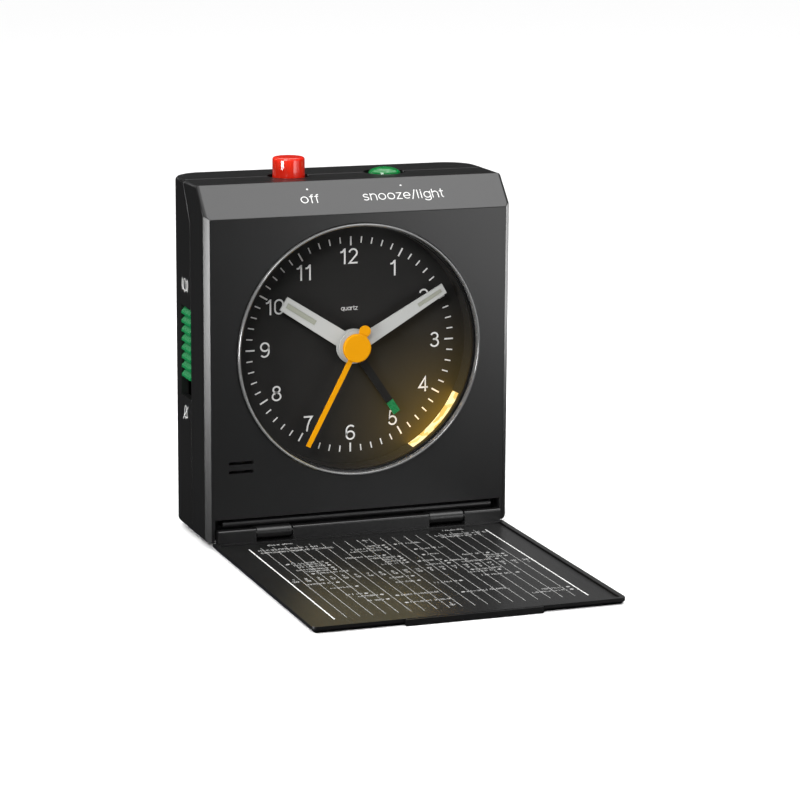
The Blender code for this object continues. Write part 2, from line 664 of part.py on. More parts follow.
def stator_and_coil():
    left, right = ROTOR[0] - 7.0, ROTOR[0] + 2.9
    low, high = ROTOR[1] - 2.9, ROTOR[1] + 2.9
    outline = [(left, DIAL_Z - 9.0), (left + 2.6, DIAL_Z - 9.0), (left + 2.6, low), (right, low),
               (right, high), (left, high)]
    yoke = mesh_object("stator", prism(outline, "y", 14.3, 15.1), "steel")
    cut(yoke, rod("y", ROTOR, 2.3, 13, 17, 24))
    coil = turned([(0, DIAL_Z - 8), (2.1, DIAL_Z - 8), (2.1, DIAL_Z + 2.4), (0, DIAL_Z + 2.4)],
                  "z", (left + 1.3, 14.7), 20)
    winding = mesh_object("coil", coil, "copper")
    cut(winding, box((left - 0.15, 14.15, DIAL_Z - 12), (left + 2.75, 15.25, DIAL_Z + 6)))
    return winding


def movement_case():
    half, front, back = 18.6, 7.5, 20.2
    base = box((-half, front, DIAL_Z - half), (half, front + 1.4, DIAL_Z + half))
    base = mesh_object("movement_base", base, "movement")
    cut(base, rod("y", (0, DIAL_Z), 2.4, front - 1, front + 3, 24))
    cover = mesh_object("movement_cover", box((-half, front + 1.55, DIAL_Z - half),
                                              (half, back, DIAL_Z + half)), "movement")
    cut(cover, box((1.1 - half, front, 1.1 + DIAL_Z - half),
                   (half - 1.1, back - 1.1, DIAL_Z + half - 1.1)))
    for x, z, radius in (TIME_KNOB, ALARM_KNOB):
        cut(cover, rod("y", (x, z), 1.45, back - 3, back + 2, 16))


def knob(name, place, pinion, low):
    """A ribbed setting knob in the back, its stem and the pinion on the stem's inner end."""
    x, z, radius = place
    ribs = 20
    outline = []
    for i in range(ribs):
        for r, turn in ((radius, 0.0), (radius - 0.45, 0.5)):
            t = 2 * math.pi * (i + turn) / ribs
            outline.append((x + r * math.cos(t), z + r * math.sin(t)))
    made = mesh_object(name, prism(outline, "y", CASE_D - 2.8, CASE_D - 0.4), "black",
                       (x, CASE_D - 2.8, z))
    add(made, rod("y", (x, z), 1.2, low + 0.2, CASE_D - 2.0, 16))
    teeth, module, facing, between = pinion
    add(made, wheel(None, (x, z), teeth, module, facing, low, between))
    return made


def knobs():
    m_minute = module_for(MOTION_DISTANCE, CANNON_PINION, MINUTE_WHEEL)
    m_alarm = module_for(ALARM_DISTANCE, ALARM_PINION, ALARM_WHEEL)
    # the minute wheel has a gap towards the cannon pinion and, with an even tooth count, one opposite
    knob("time_set_knob", TIME_KNOB, (SETTING_PINION, m_minute, MOTION_AT + 180, 0), LAYER["minute"])
    knob("alarm_set_knob", ALARM_KNOB, (ALARM_PINION, m_alarm, ALARM_AT + 180, 0), LAYER["alarm"])


# ---- electrics -----------------------------------------------------------------------------------
SWITCH_BOARD_Z = BASE + 62.5
SWITCH_TOP = SWITCH_BOARD_Z + 2.4


def boards():
    mesh_object("switch_board", box((-17, 10.4, SWITCH_BOARD_Z), (17, 20.4, SWITCH_BOARD_Z + 1.0)),
                "board")
    for name, x in (("off_switch", -BUTTON_X), ("snooze_switch", BUTTON_X)):
        body = turned([(0, SWITCH_BOARD_Z + 1.1), (2.5, SWITCH_BOARD_Z + 1.1), (2.5, SWITCH_TOP - 0.5),
                       (1.2, SWITCH_TOP), (0, SWITCH_TOP)], "z", (x, BUTTON_Y), 20)
        mesh_object(name, body, "black", (x, BUTTON_Y, SWITCH_BOARD_Z + 1.1))
    board_y = 20.9
    mesh_object("circuit_board", box((-26, board_y, BASE + 56.5), (26, board_y + 1.0, BASE + 73.5)),
                "board")
    mesh_object("control_chip", box((-6, board_y + 1.1, BASE + 61.5), (2, board_y + 2.5, BASE + 69.5)),
                "black")
    can = rod("x", (board_y + 2.4, BASE + 64.0), 1.2, 8.0, 15.0, 16)
    mesh_object("quartz_crystal", can, "steel")
    mesh_object("alarm_switch", box((-31.6, 11.8, BASE + 36.0), (-28.9, 15.2, BASE + 44.0)), "black")
    ring = [(0, 2.1), (1.4, 2.1), (1.9, 2.6), (4.9, 2.6), (4.9, 5.2), (0, 5.2)]
    mesh_object("sounder", turned(ring, "y", (-27.05, BASE + 15.9), 24), "black",
                (-27.05, 2.1, BASE + 15.9))


def helix(axis, centre, radius, wire, low, high, turns, per_turn=10, sides=5, taper=1.0):
    """A coil of round wire with flat cut ends."""
    bm = bmesh.new()
    steps = turns * per_turn
    rings = []
    for i in range(steps + 1):
        share = i / steps
        t = 2 * math.pi * turns * share
        r = radius * (1 + (taper - 1) * share)
        along = low + wire + (high - low - 2 * wire) * share
        ring = []
        for k in range(sides):
            a = 2 * math.pi * k / sides
            out = r + wire * math.cos(a)
            u, v = centre[0] + out * math.cos(t), centre[1] + out * math.sin(t)
            ring.append(bm.verts.new(at(axis, along + wire * math.sin(a), u, v)))
        rings.append(ring)
    for a, b in zip(rings, rings[1:]):
        for k in range(sides):
            j = (k + 1) % sides
            bm.faces.new((a[k], a[j], b[j], b[k]))
    bm.faces.new(rings[0])
    bm.faces.new(list(reversed(rings[-1])))
    return bm


def battery_group():
    z = BASE + BATTERY_H
    half = BATTERY_L / 2
    cell = [(0, -half), (BATTERY_R - 0.6, -half), (BATTERY_R, 0.6 - half), (BATTERY_R, half - 1.6),
            (BATTERY_R - 0.6, half - 1.0), (2.75, half - 1.0), (2.75, half), (0, half)]
    mesh_object("battery", turned(cell, "x", (BATTERY_Y, z), 28), "steel", (0, BATTERY_Y, z))
    mesh_object("contact_spring", helix("x", (BATTERY_Y, z), 4.2, 0.3, -28.0, -half - 0.15, 3,
                                        taper=0.6), "steel")
    mesh_object("contact_plate", box((half + 0.3, BATTERY_Y - 5, z - 5), (28.0, BATTERY_Y + 5, z + 5)),
                "steel")


# ---- controls ------------------------------------------------------------------------------------
FLANGE_TOP = TOP - 3.3 - GAP
FLANGE_T = 1.2


def push_button(name, x, cap_profile, finish, travel):
    """Cap, stem collar and pusher in one piece; the collar stays under the case's top."""
    collar = FLANGE_TOP - FLANGE_T
    foot = SWITCH_TOP + travel + GAP
    profile = [(0, foot), (1.6, foot), (1.6, collar), (4.3, collar), (4.3, FLANGE_TOP),
               (BUTTON_R, FLANGE_TOP)] + cap_profile
    origin = (x, BUTTON_Y, FLANGE_TOP)
    return mesh_object(name, turned(profile, "z", (x, BUTTON_Y), 32), finish, origin)


def buttons():
    high = TOP + OFF_PROUD
    off_cap = [(BUTTON_R, high - 0.5), (BUTTON_R - 0.15, high - 0.15), (BUTTON_R - 0.5, high), (0, high)]
    push_button("off_button", -BUTTON_X, off_cap, "red", OFF_TRAVEL)
    rim, dome_r = TOP - 0.25, BUTTON_R
    steps = 5
    rise = TOP + SNOOZE_PROUD - rim
    dome = [(dome_r * math.cos(t), rim + rise * math.sin(t))
            for t in (math.pi / 2 * i / steps for i in range(steps))]
    push_button("snooze_button", BUTTON_X, dome + [(0, TOP + SNOOZE_PROUD)], "green", SNOOZE_TRAVEL)
    for name, x in (("off_spring", -BUTTON_X), ("snooze_spring", BUTTON_X)):
        coil = helix("z", (x, BUTTON_Y), 3.4, 0.28, SWITCH_BOARD_Z + 1.15, FLANGE_TOP - FLANGE_T - 0.15, 4)
        mesh_object(name, coil, "steel", (x, BUTTON_Y, SWITCH_BOARD_Z + 1.0))


def alarm_slider():
    """Serrated thumb piece in the slot, on a longer plate that runs behind the wall."""
    inside = WALL - HALF_W + 0.3
    plate = box((inside, SLOT_Y[0] + 0.25, BASE + 29.05), (inside + 1.0, 15.0, BASE + 53.0))
    slider = mesh_object("alarm_slider", plate, "green", (inside, 15.0, BASE + SLOT_H[1]))
    low, high = BASE + SLOT_H[0] + SLIDER_TRAVEL + 0.4, BASE + SLOT_H[1] - 0.3
    pitch = (high - low) / SLIDER_TEETH
    outline = [(inside + 0.5, low)]
    for i in range(SLIDER_TEETH):
        z = low + i * pitch
        outline += [(-HALF_W + 0.85, z), (-HALF_W, z + 0.2 * pitch), (-HALF_W, z + 0.45 * pitch),
                    (-HALF_W + 0.85, z + 0.95 * pitch)]
    outline += [(inside + 0.5, high)]
    add(slider, prism(outline, "y", SLOT_Y[0] + 0.25, SLOT_Y[1] - 0.3))
    return slider


# ---- lid -----------------------------------------------------------------------------------------
def lid():
    low, high = BASE - LID_T, BASE
    half = LID_W / 2
    plate = box((-half, -LID_REACH, low), (half, HINGE_Y, high))
    round_edges(plate, lambda a, b: a.y < 1 - LID_REACH and b.y < 1 - LID_REACH
                and abs(a.x - b.x) < 0.01, 1.2, 3)
    round_edges(plate, lambda a, b: a.z < low + 0.01 and b.z < low + 0.01
                and not (a.y > HINGE_Y - 0.01 and b.y > HINGE_Y - 0.01), 0.7, 1)
    made = mesh_object("lid", plate, "lid", (0, HINGE_Y, HINGE_Z))
    add(made, box((TAB_X[0], -LID_REACH - 0.6, low), (TAB_X[1], -LID_REACH + 2.5, high - 0.1)))
    cut(made, box((LID_RIM - half, LID_RIM - LID_REACH, low + LID_FLOOR),
                  (half - LID_RIM, LABEL_END, high + 2)))
    add(made, round_edges(box((-BLOCK_END, -1.0, low), (BLOCK_END, 0.8, high)),
                          lambda a, b: a.y > 0 and b.y > 0 and a.z < low + 0.01 and b.z < low + 0.01,
                          0.6, 1))
    front, soft = HINGE_Y - BLOCK_R - 0.05, 0.5
    block = [(front, high - 0.3)] + arc((front + soft, HINGE_Z + BLOCK_R - soft), soft, 180, 90, 4)
    block += arc((HINGE_Y, HINGE_Z), BLOCK_R, 80, -60, 8) + [(HINGE_Y + BLOCK_R / 2, high - 0.3)]
    inner, outer = KNUCKLE_X[0] - GAP, KNUCKLE_X[1] + GAP
    for start, stop in ((-BLOCK_END, -outer), (-inner, inner), (outer, BLOCK_END)):
        add(made, prism(block, "x", start, stop))
    cut(made, rod("x", (HINGE_Y, HINGE_Z), PIN_R + 0.08, -31.4, 36, 16))
    return made


def lid_label():
    low = BASE - LID_T + LID_FLOOR + 0.05
    half = LID_W / 2 - LID_RIM - 0.15
    card = box((-half, LID_RIM + 0.15 - LID_REACH, low), (half, LABEL_END - 0.15, low + 0.2))
    return mesh_object("lid_label", card, "label")


def hinge_pin():
    return mesh_object("hinge_pin", rod("x", (HINGE_Y, HINGE_Z), PIN_R, -31.2, 31.2, 12), "steel",
                       (0, HINGE_Y, HINGE_Z))


def build():
    clear_scene()
    frame = bpy.data.objects.new("clock_frame", None)
    bpy.context.collection.objects.link(frame)
    frame.location = (0.0, FRAME_SHIFT * MM, 0.0)
    front_case()
    rear_case()
    feet()
    screws()
    battery_door()
    lens()
    dial_ring()
    light_guide()
    lamp()
    dial_plate()
    hands()
    wheel_train()
    stator_and_coil()
    movement_case()
    knobs()
    boards()
    battery_group()
    buttons()
    alarm_slider()
    lid()
    lid_label()
    hinge_pin()
    bpy.context.view_layer.update()


build()
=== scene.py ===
"""Looks of a folding travel alarm clock: finishes, printing, lens, light and camera."""

import json
import math
import random

import bmesh
import bpy
from mathutils import Matrix, Vector

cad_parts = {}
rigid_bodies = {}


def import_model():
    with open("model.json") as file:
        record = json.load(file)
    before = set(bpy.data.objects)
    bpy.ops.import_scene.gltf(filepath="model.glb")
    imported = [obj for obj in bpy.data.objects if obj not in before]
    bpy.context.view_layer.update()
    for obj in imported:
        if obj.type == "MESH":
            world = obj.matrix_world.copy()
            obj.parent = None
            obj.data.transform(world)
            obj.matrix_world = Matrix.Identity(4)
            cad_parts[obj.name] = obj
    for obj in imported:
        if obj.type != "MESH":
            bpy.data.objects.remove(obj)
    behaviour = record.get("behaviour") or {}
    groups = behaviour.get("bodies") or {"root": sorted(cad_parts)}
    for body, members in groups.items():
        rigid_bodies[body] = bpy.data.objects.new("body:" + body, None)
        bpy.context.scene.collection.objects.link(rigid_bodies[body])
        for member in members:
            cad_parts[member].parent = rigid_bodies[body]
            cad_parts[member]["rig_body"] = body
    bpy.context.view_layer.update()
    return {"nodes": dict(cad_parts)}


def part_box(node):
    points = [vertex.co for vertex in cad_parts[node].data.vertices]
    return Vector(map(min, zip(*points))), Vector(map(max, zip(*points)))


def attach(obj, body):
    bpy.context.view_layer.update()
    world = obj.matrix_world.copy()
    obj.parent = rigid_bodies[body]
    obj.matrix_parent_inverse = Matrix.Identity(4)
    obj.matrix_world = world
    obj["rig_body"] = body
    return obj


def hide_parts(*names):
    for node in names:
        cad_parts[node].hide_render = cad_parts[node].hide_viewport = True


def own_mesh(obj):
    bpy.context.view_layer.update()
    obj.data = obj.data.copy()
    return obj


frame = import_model()

# ---- places --------------------------------------------------------------------------------------
# In millimetres: x from the clock's middle, y back from its front face, z up from the table.
MM = 0.001
CASE_DEPTH = 28.0
SLOPE_LOW = (0.0, 72.0)          # the sloped facet's lower and upper edge as (y, z)
SLOPE_HIGH = (6.3, 78.6)


def box_mm(node):
    low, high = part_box(node)
    return low / MM, high / MM


FRONT = box_mm("rear_case")[1].y - CASE_DEPTH
DIAL_LOW, DIAL_HIGH = box_mm("dial_plate")
DIAL_Z = (DIAL_LOW.z + DIAL_HIGH.z) / 2
DIAL_Y = DIAL_LOW.y - FRONT
CASE_BASE = box_mm("front_case")[0].z
SIDE_X = box_mm("rear_case")[0].x
TOP = box_mm("rear_case")[1].z
LABEL_LOW, LABEL_HIGH = box_mm("lid_label")
LENS_LOW, LENS_HIGH = box_mm("lens")


def spot(x, y, z):
    """A place on the clock in metres, in the frame's own coordinates."""
    return Vector((x, y + FRONT, z)) * MM


# ---- materials -----------------------------------------------------------------------------------
def new_material(name):
    made = bpy.data.materials.new(name)
    made.use_nodes = True
    return made, made.node_tree, made.node_tree.nodes["Principled BSDF"]


def noise(tree, scale, detail=2.0, roughness=0.5, stretch=None):
    """A noise pattern fixed to its object; scale is in features per metre."""
    place = tree.nodes.new("ShaderNodeTexCoord")
    texture = tree.nodes.new("ShaderNodeTexNoise")
    texture.inputs["Scale"].default_value = scale
    texture.inputs["Detail"].default_value = detail
    texture.inputs["Roughness"].default_value = roughness
    if stretch is None:
        tree.links.new(place.outputs["Object"], texture.inputs["Vector"])
    else:
        mapping = tree.nodes.new("ShaderNodeMapping")
        mapping.inputs["Scale"].default_value = stretch
        tree.links.new(place.outputs["Object"], mapping.inputs["Vector"])
        tree.links.new(mapping.outputs["Vector"], texture.inputs["Vector"])
    return texture.outputs["Fac"]


def spread(tree, source, low, high, start=0.3, stop=0.7):
    """Maps a pattern to the range from low to high."""
    node = tree.nodes.new("ShaderNodeMapRange")
    node.inputs["From Min"].default_value = start
    node.inputs["From Max"].default_value = stop
    node.inputs["To Min"].default_value = low
    node.inputs["To Max"].default_value = high
    tree.links.new(source, node.inputs["Value"])
    return node.outputs["Result"]


def tinted(tree, source, first, second):
    """Blends two colours by a pattern."""
    ramp = tree.nodes.new("ShaderNodeValToRGB")
    ramp.color_ramp.elements[0].position = 0.3
    ramp.color_ramp.elements[0].color = (*first, 1)
    ramp.color_ramp.elements[1].position = 0.7
    ramp.color_ramp.elements[1].color = (*second, 1)
    tree.links.new(source, ramp.inputs["Fac"])
    return ramp.outputs["Color"]


def bump(tree, shader, source, height):
    """Raises the surface by height, in mm, where the pattern is bright."""
    node = tree.nodes.new("ShaderNodeBump")
    node.inputs["Strength"].default_value = 1.0
    node.inputs["Distance"].default_value = height * MM
    tree.links.new(source, node.inputs["Height"])
    tree.links.new(node.outputs["Normal"], shader.inputs["Normal"])


def surface(name, colour, roughness, change=0.08, grain=0.25, height=0.004, metallic=0.0, gloss=0.5,
            coat=0.0, stretch=None):
    """A plain surface whose colour and roughness drift a little, over a fine grain in mm."""
    made, tree, shader = new_material(name)
    drift = noise(tree, 90.0, 3.0)
    fine = noise(tree, 1000.0 / grain, 2.0, 0.6, stretch)
    darker = tuple(c * (1 - change) for c in colour)
    lighter = tuple(min(1.0, c * (1 + change)) for c in colour)
    tree.links.new(tinted(tree, drift, darker, lighter), shader.inputs["Base Color"])
    tree.links.new(spread(tree, fine, roughness * (1 - change), roughness * (1 + change)),
                   shader.inputs["Roughness"])
    shader.inputs["Metallic"].default_value = metallic
    shader.inputs["Specular IOR Level"].default_value = gloss
    shader.inputs["Coat Weight"].default_value = coat
    bump(tree, shader, fine, height)
    return made


CASE = surface("case_plastic", (0.0042, 0.0042, 0.0044), 0.34, grain=0.20, height=0.006)
LID = surface("lid_plastic", (0.0042, 0.0042, 0.0044), 0.32, grain=0.20, height=0.006)
DIAL = surface("dial_paint_and_painted_glow", (0.0085, 0.0083, 0.0078), 0.7, grain=0.12, height=0.003, gloss=0.3)
GLOW_REACH = 31.0                 # how far the painted pool of lamp light spreads over the dial, in mm
GLOW_POWER = 0.085                # strength of the painted light at the lamp


def lamp_glow(finish):
    """Paints the lamp's light into a dark surface's own emission: a painted pool of light,
    strongest at the lamp, gone at GLOW_REACH.
    """
    tree = finish.node_tree
    shader = tree.nodes["Principled BSDF"]
    low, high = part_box("light_guide")
    place = tree.nodes.new("ShaderNodeTexCoord")
    centred = tree.nodes.new("ShaderNodeMapping")
    centred.vector_type = "TEXTURE"
    centred.inputs["Location"].default_value = (low + high) / 2
    centred.inputs["Scale"].default_value = (GLOW_REACH * MM,) * 3
    fall = tree.nodes.new("ShaderNodeTexGradient")
    fall.gradient_type = "QUADRATIC_SPHERE"
    power = tree.nodes.new("ShaderNodeMath")
    power.operation = "MULTIPLY"
    power.inputs[1].default_value = GLOW_POWER
    tree.links.new(place.outputs["Object"], centred.inputs["Vector"])
    tree.links.new(centred.outputs["Vector"], fall.inputs["Vector"])
    tree.links.new(fall.outputs["Fac"], power.inputs[0])
    shader.inputs["Emission Color"].default_value = (1.0, 0.64, 0.03, 1)
    tree.links.new(power.outputs["Value"], shader.inputs["Emission Strength"])


# The dial's glow round the lit window is partly real light from the lamp and partly painted light
# in the dial's own material.
lamp_glow(DIAL)
PRINT = surface("white_print", (0.72, 0.72, 0.71), 0.55, change=0.04, grain=0.10, height=0.002)
CARD_PRINT = surface("card_print", (0.36, 0.36, 0.355), 0.55, change=0.04, grain=0.10, height=0.002)
LABEL = surface("label_film", (0.006, 0.006, 0.006), 0.32, change=0.12, grain=0.20, height=0.008)
HAND = surface("hand_paint", (0.45, 0.455, 0.44), 0.5, change=0.03, grain=0.15, height=0.002)
LUME = surface("lume_paint", (0.30, 0.31, 0.255), 0.8, change=0.06, grain=0.12, height=0.010)
YELLOW = surface("hand_yellow", (0.72, 0.30, 0.0005), 0.5, change=0.03, grain=0.15, height=0.002,
                 gloss=0.1)
BLACK = surface("satin_black", (0.005, 0.005, 0.005), 0.55, grain=0.2, height=0.004, gloss=0.25)
KNOB = surface("knob_plastic", (0.022, 0.022, 0.023), 0.32, grain=0.25, height=0.004)
GREEN = surface("green_plastic", (0.004, 0.16, 0.045), 0.28, grain=0.3, height=0.003)
RUBBER = surface("foot_rubber", (0.020, 0.020, 0.020), 0.85, change=0.15, grain=0.4, height=0.03)
BRASS = surface("wheel_brass", (0.72, 0.50, 0.20), 0.30, grain=0.12, height=0.002, metallic=1.0)
STEEL = surface("bright_steel", (0.62, 0.62, 0.61), 0.25, grain=0.10, height=0.002, metallic=1.0,
                stretch=(1.0, 12.0, 12.0))
COPPER = surface("copper_wire", (0.72, 0.30, 0.13), 0.30, grain=0.10, height=0.010, metallic=1.0,
                 stretch=(1.0, 1.0, 12.0))
MOVEMENT = surface("movement_plastic", (0.55, 0.55, 0.51), 0.45, grain=0.3, height=0.004)
BOARD = surface("solder_mask", (0.015, 0.16, 0.05), 0.30, change=0.25, grain=0.6, height=0.010,
                coat=0.3)


def glossy_plastic(name, colour, deep):
    """Polished see-into plastic, deeper in colour away from its edges."""
    made, tree, shader = new_material(name)
    tree.links.new(tinted(tree, noise(tree, 160.0, 2.0), deep, colour), shader.inputs["Base Color"])
    shader.inputs["Roughness"].default_value = 0.22
    shader.inputs["Subsurface Weight"].default_value = 0.25
    shader.inputs["Subsurface Radius"].default_value = (1.0, 0.25, 0.15)
    shader.inputs["Subsurface Scale"].default_value = 1.2 * MM
    shader.inputs["Coat Weight"].default_value = 0.3
    shader.inputs["Coat Roughness"].default_value = 0.06
    bump(tree, shader, noise(tree, 350.0, 1.0), 0.02)
    return made


RED_GLOSS = glossy_plastic("red_button", (0.82, 0.030, 0.010), (0.74, 0.014, 0.006))
GREEN_GLOSS = glossy_plastic("green_button", (0.004, 0.22, 0.045), (0.002, 0.15, 0.030))


def clear_lens():
    """A pane without reflections: nearly all light goes straight through."""
    made, tree, shader = new_material("clear_lens")
    shader.inputs["Base Color"].default_value = (0.0, 0.0, 0.0, 1)
    shader.inputs["Alpha"].default_value = 0.02
    shader.inputs["Specular IOR Level"].default_value = 0.0
    tree.links.new(spread(tree, noise(tree, 60.0), 0.04, 0.08), shader.inputs["Roughness"])
    return made


LAMP_POWER = 7.0                  # light that the window casts, more than the camera sees in it


def lit_amber():
    """The lamp window: milky amber facets to the camera, a strong warm light to the rest."""
    made, tree, shader = new_material("lit_amber")
    cells = tree.nodes.new("ShaderNodeTexVoronoi")
    place = tree.nodes.new("ShaderNodeTexCoord")
    cells.inputs["Scale"].default_value = 520.0
    tree.links.new(place.outputs["Object"], cells.inputs["Vector"])
    shade = tree.nodes.new("ShaderNodeSeparateColor")
    tree.links.new(cells.outputs["Color"], shade.inputs["Color"])
    facet = shade.outputs["Red"]
    glow = tinted(tree, facet, (1.0, 0.90, 0.52), (0.92, 0.60, 0.14))
    path = tree.nodes.new("ShaderNodeLightPath")
    colour = tree.nodes.new("ShaderNodeMix")
    colour.data_type = "RGBA"
    colour.inputs["A"].default_value = (1.0, 0.52, 0.03, 1)
    tree.links.new(path.outputs["Is Camera Ray"], colour.inputs["Factor"])
    tree.links.new(glow, colour.inputs["B"])
    tree.links.new(colour.outputs["Result"], shader.inputs["Emission Color"])
    power = tree.nodes.new("ShaderNodeMix")
    power.inputs["A"].default_value = LAMP_POWER
    tree.links.new(path.outputs["Is Camera Ray"], power.inputs["Factor"])
    tree.links.new(spread(tree, facet, 1.05, 0.70), power.inputs["B"])
    tree.links.new(power.outputs["Result"], shader.inputs["Emission Strength"])
    shader.inputs["Base Color"].default_value = (0.40, 0.24, 0.05, 1)
    shader.inputs["Roughness"].default_value = 0.3
    return made


def cell_wrap():
    """A dry cell: printed sleeve in two colours along its length, bare metal at both ends."""
    made, tree, shader = new_material("cell_wrap")
    low, high = box_mm("battery")
    place = tree.nodes.new("ShaderNodeTexCoord")
    axes = tree.nodes.new("ShaderNodeSeparateXYZ")
    tree.links.new(place.outputs["Object"], axes.inputs["Vector"])
    along = spread(tree, axes.outputs["X"], 0.0, 1.0, low.x * MM, high.x * MM)
    colours = tree.nodes.new("ShaderNodeValToRGB")
    metal = tree.nodes.new("ShaderNodeValToRGB")
    for ramp, stops in ((colours, ((0.0, (0.6, 0.6, 0.6)), (0.05, (0.03, 0.03, 0.035)),
                                   (0.68, (0.62, 0.24, 0.03)), (0.94, (0.6, 0.6, 0.6)))),
                        (metal, ((0.0, (1, 1, 1)), (0.05, (0, 0, 0)), (0.94, (1, 1, 1))))):
        ramp.color_ramp.interpolation = "CONSTANT"
        ramp.color_ramp.elements.remove(ramp.color_ramp.elements[1])
        ramp.color_ramp.elements[0].color = (*stops[0][1], 1)
        for position, colour in stops[1:]:
            ramp.color_ramp.elements.new(position).color = (*colour, 1)
        tree.links.new(along, ramp.inputs["Fac"])
    tree.links.new(colours.outputs["Color"], shader.inputs["Base Color"])
    tree.links.new(metal.outputs["Color"], shader.inputs["Metallic"])
    tree.links.new(spread(tree, noise(tree, 900.0), 0.22, 0.30), shader.inputs["Roughness"])
    return made


CELL = cell_wrap()
LENS = clear_lens()
AMBER = lit_amber()
RIM = surface("lens_edge", (0.12, 0.12, 0.12), 0.18, change=0.05, grain=0.4, height=0.001,
              gloss=0.9, coat=1.0)

FINISHES = {
    CASE: ("front_case", "rear_case", "battery_door"),
    LID: ("lid",),
    DIAL: ("dial_plate", "dial_ring"),
    LABEL: ("lid_label",),
    HAND: ("hour_hand", "minute_hand"),
    LUME: ("hour_lume", "minute_lume"),
    YELLOW: ("second_hand",),
    BLACK: ("alarm_hand", "off_switch", "snooze_switch", "alarm_switch", "control_chip", "sounder"),
    CELL: ("battery",),
    GREEN: ("alarm_slider", "alarm_hand_tip"),
    RED_GLOSS: ("off_button",),
    GREEN_GLOSS: ("snooze_button",),
    RUBBER: ("foot_front_left", "foot_front_right", "foot_rear_left", "foot_rear_right"),
    BRASS: ("centre_wheel", "third_wheel", "fifth_wheel", "second_wheel", "minute_wheel",
            "hour_wheel", "alarm_wheel"),
    STEEL: ("hinge_pin", "contact_spring", "contact_plate", "off_spring", "snooze_spring",
            "stator", "rotor", "quartz_crystal", "screw_1", "screw_2", "screw_3", "screw_4"),
    COPPER: ("coil",),
    MOVEMENT: ("movement_base", "movement_cover"),
    BOARD: ("circuit_board", "switch_board"),
    AMBER: ("light_guide", "lamp"),
    LENS: ("lens",),
}


def paint_frame():
    """Gives each CAD node its finish."""
    for finish, names in FINISHES.items():
        for name in names:
            node = frame["nodes"][name]
            node.data.materials.clear()
            node.data.materials.append(finish)


# ---- meshes --------------------------------------------------------------------------------------
EDGE_SEGMENTS = 2                 # steps round a softened edge
SHARP = 32.0                      # degrees between two faces from which their edge is softened


def piece(name, bm, finish, body, smooth=35.0):
    """A new piece from a mesh made in the frame's coordinates, riding on a body."""
    mesh = bpy.data.meshes.new(name)
    bm.to_mesh(mesh)
    bm.free()
    mesh.shade_smooth()
    mesh.set_sharp_from_angle(angle=math.radians(smooth))
    made = bpy.data.objects.new(name, mesh)
    bpy.context.scene.collection.objects.link(made)
    mesh.materials.append(finish)
    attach(made, body)
    return made


def lip(edge):
    """Whether an edge lies between an outer wall or top and a face that looks forward."""
    first, second = (face.normal for face in edge.link_faces)
    for wall, front in ((first, second), (second, first)):
        if front.y < -0.8 and max(abs(wall.x), wall.z) > 0.9:
            middle = (edge.verts[0].co + edge.verts[1].co) / 2 / MM
            return abs(middle.x) > abs(SIDE_X) - 0.1 or middle.z > TOP - 0.1
    return False


def refined(node, finish, edge, lips=0.0):
    """The node's own shape with its sharp edges softened by edge and its lips by lips, in mm."""
    source = frame["nodes"][node]
    bm = bmesh.new()
    bm.from_mesh(source.data)
    bmesh.ops.remove_doubles(bm, verts=bm.verts[:], dist=0.002 * MM)
    bmesh.ops.dissolve_limit(bm, angle_limit=math.radians(0.4), verts=bm.verts[:],
                             edges=bm.edges[:])
    bm.normal_update()
    if lips:
        chosen = [e for e in bm.edges if len(e.link_faces) == 2 and lip(e)]
        bmesh.ops.bevel(bm, geom=chosen, offset=lips * MM, segments=EDGE_SEGMENTS, profile=0.5,
                        affect="EDGES", clamp_overlap=False)
    corners = [e for e in bm.edges if len(e.link_faces) == 2
               and e.calc_face_angle(0.0) > math.radians(SHARP)]
    bmesh.ops.bevel(bm, geom=corners, offset=edge * MM, segments=EDGE_SEGMENTS, profile=0.5,
                    affect="EDGES", clamp_overlap=True)
    made = piece(node + "_shell", bm, finish, source["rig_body"], SHARP + 60.0)
    weighted = made.modifiers.new("flat_faces_stay_flat", "WEIGHTED_NORMAL")
    weighted.weight = 100
    weighted.keep_sharp = True
    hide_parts(node)


def turned(profile, sides):
    """A solid turned round the dial's axis from (radius, y) points; a radius of 0 closes it."""
    bm = bmesh.new()
    rings = []
    for radius, y in profile:
        if radius == 0:
            rings.append([bm.verts.new(spot(0, y, DIAL_Z))])
            continue
        turns = [2 * math.pi * i / sides for i in range(sides)]
        rings.append([bm.verts.new(spot(radius * math.cos(t), y, DIAL_Z + radius * math.sin(t)))
                      for t in turns])
    closed = profile[0][0] != 0
    pairs = list(zip(rings, rings[1:])) + ([(rings[-1], rings[0])] if closed else [])
    for near, far in pairs:
        for i in range(sides):
            j = (i + 1) % sides
            corners = [near[i % len(near)], near[j % len(near)],
                       far[j % len(far)], far[i % len(far)]]
            bm.faces.new(list(dict.fromkeys(corners)))
    bmesh.ops.recalc_face_normals(bm, faces=bm.faces[:])
    return bm


# ---- printing: strokes of even width, laid on a flat place ---------------------------------------
INK = 0.03                        # print thickness


class Flat:
    """A flat place to print on: its origin, and the directions that are right and up on it."""

    def __init__(self, origin, right, up):
        self.origin, self.right, self.up = spot(*origin), Vector(right), Vector(up)
        self.out = self.right.cross(self.up)

    def point(self, u, v, lift):
        return self.origin + (self.right * u + self.up * v + self.out * lift) * MM


def curve(centre, across, along, start, stop, steps=10):
    """Points along part of an ellipse, from one angle to the other."""
    turns = [math.radians(start + (stop - start) * i / steps) for i in range(steps + 1)]
    return [(centre[0] + across * math.cos(t), centre[1] + along * math.sin(t)) for t in turns]


def ring(centre, across, along):
    """A closed loop: its last point is its first."""
    return curve(centre, across, along, 90, 450, 28)


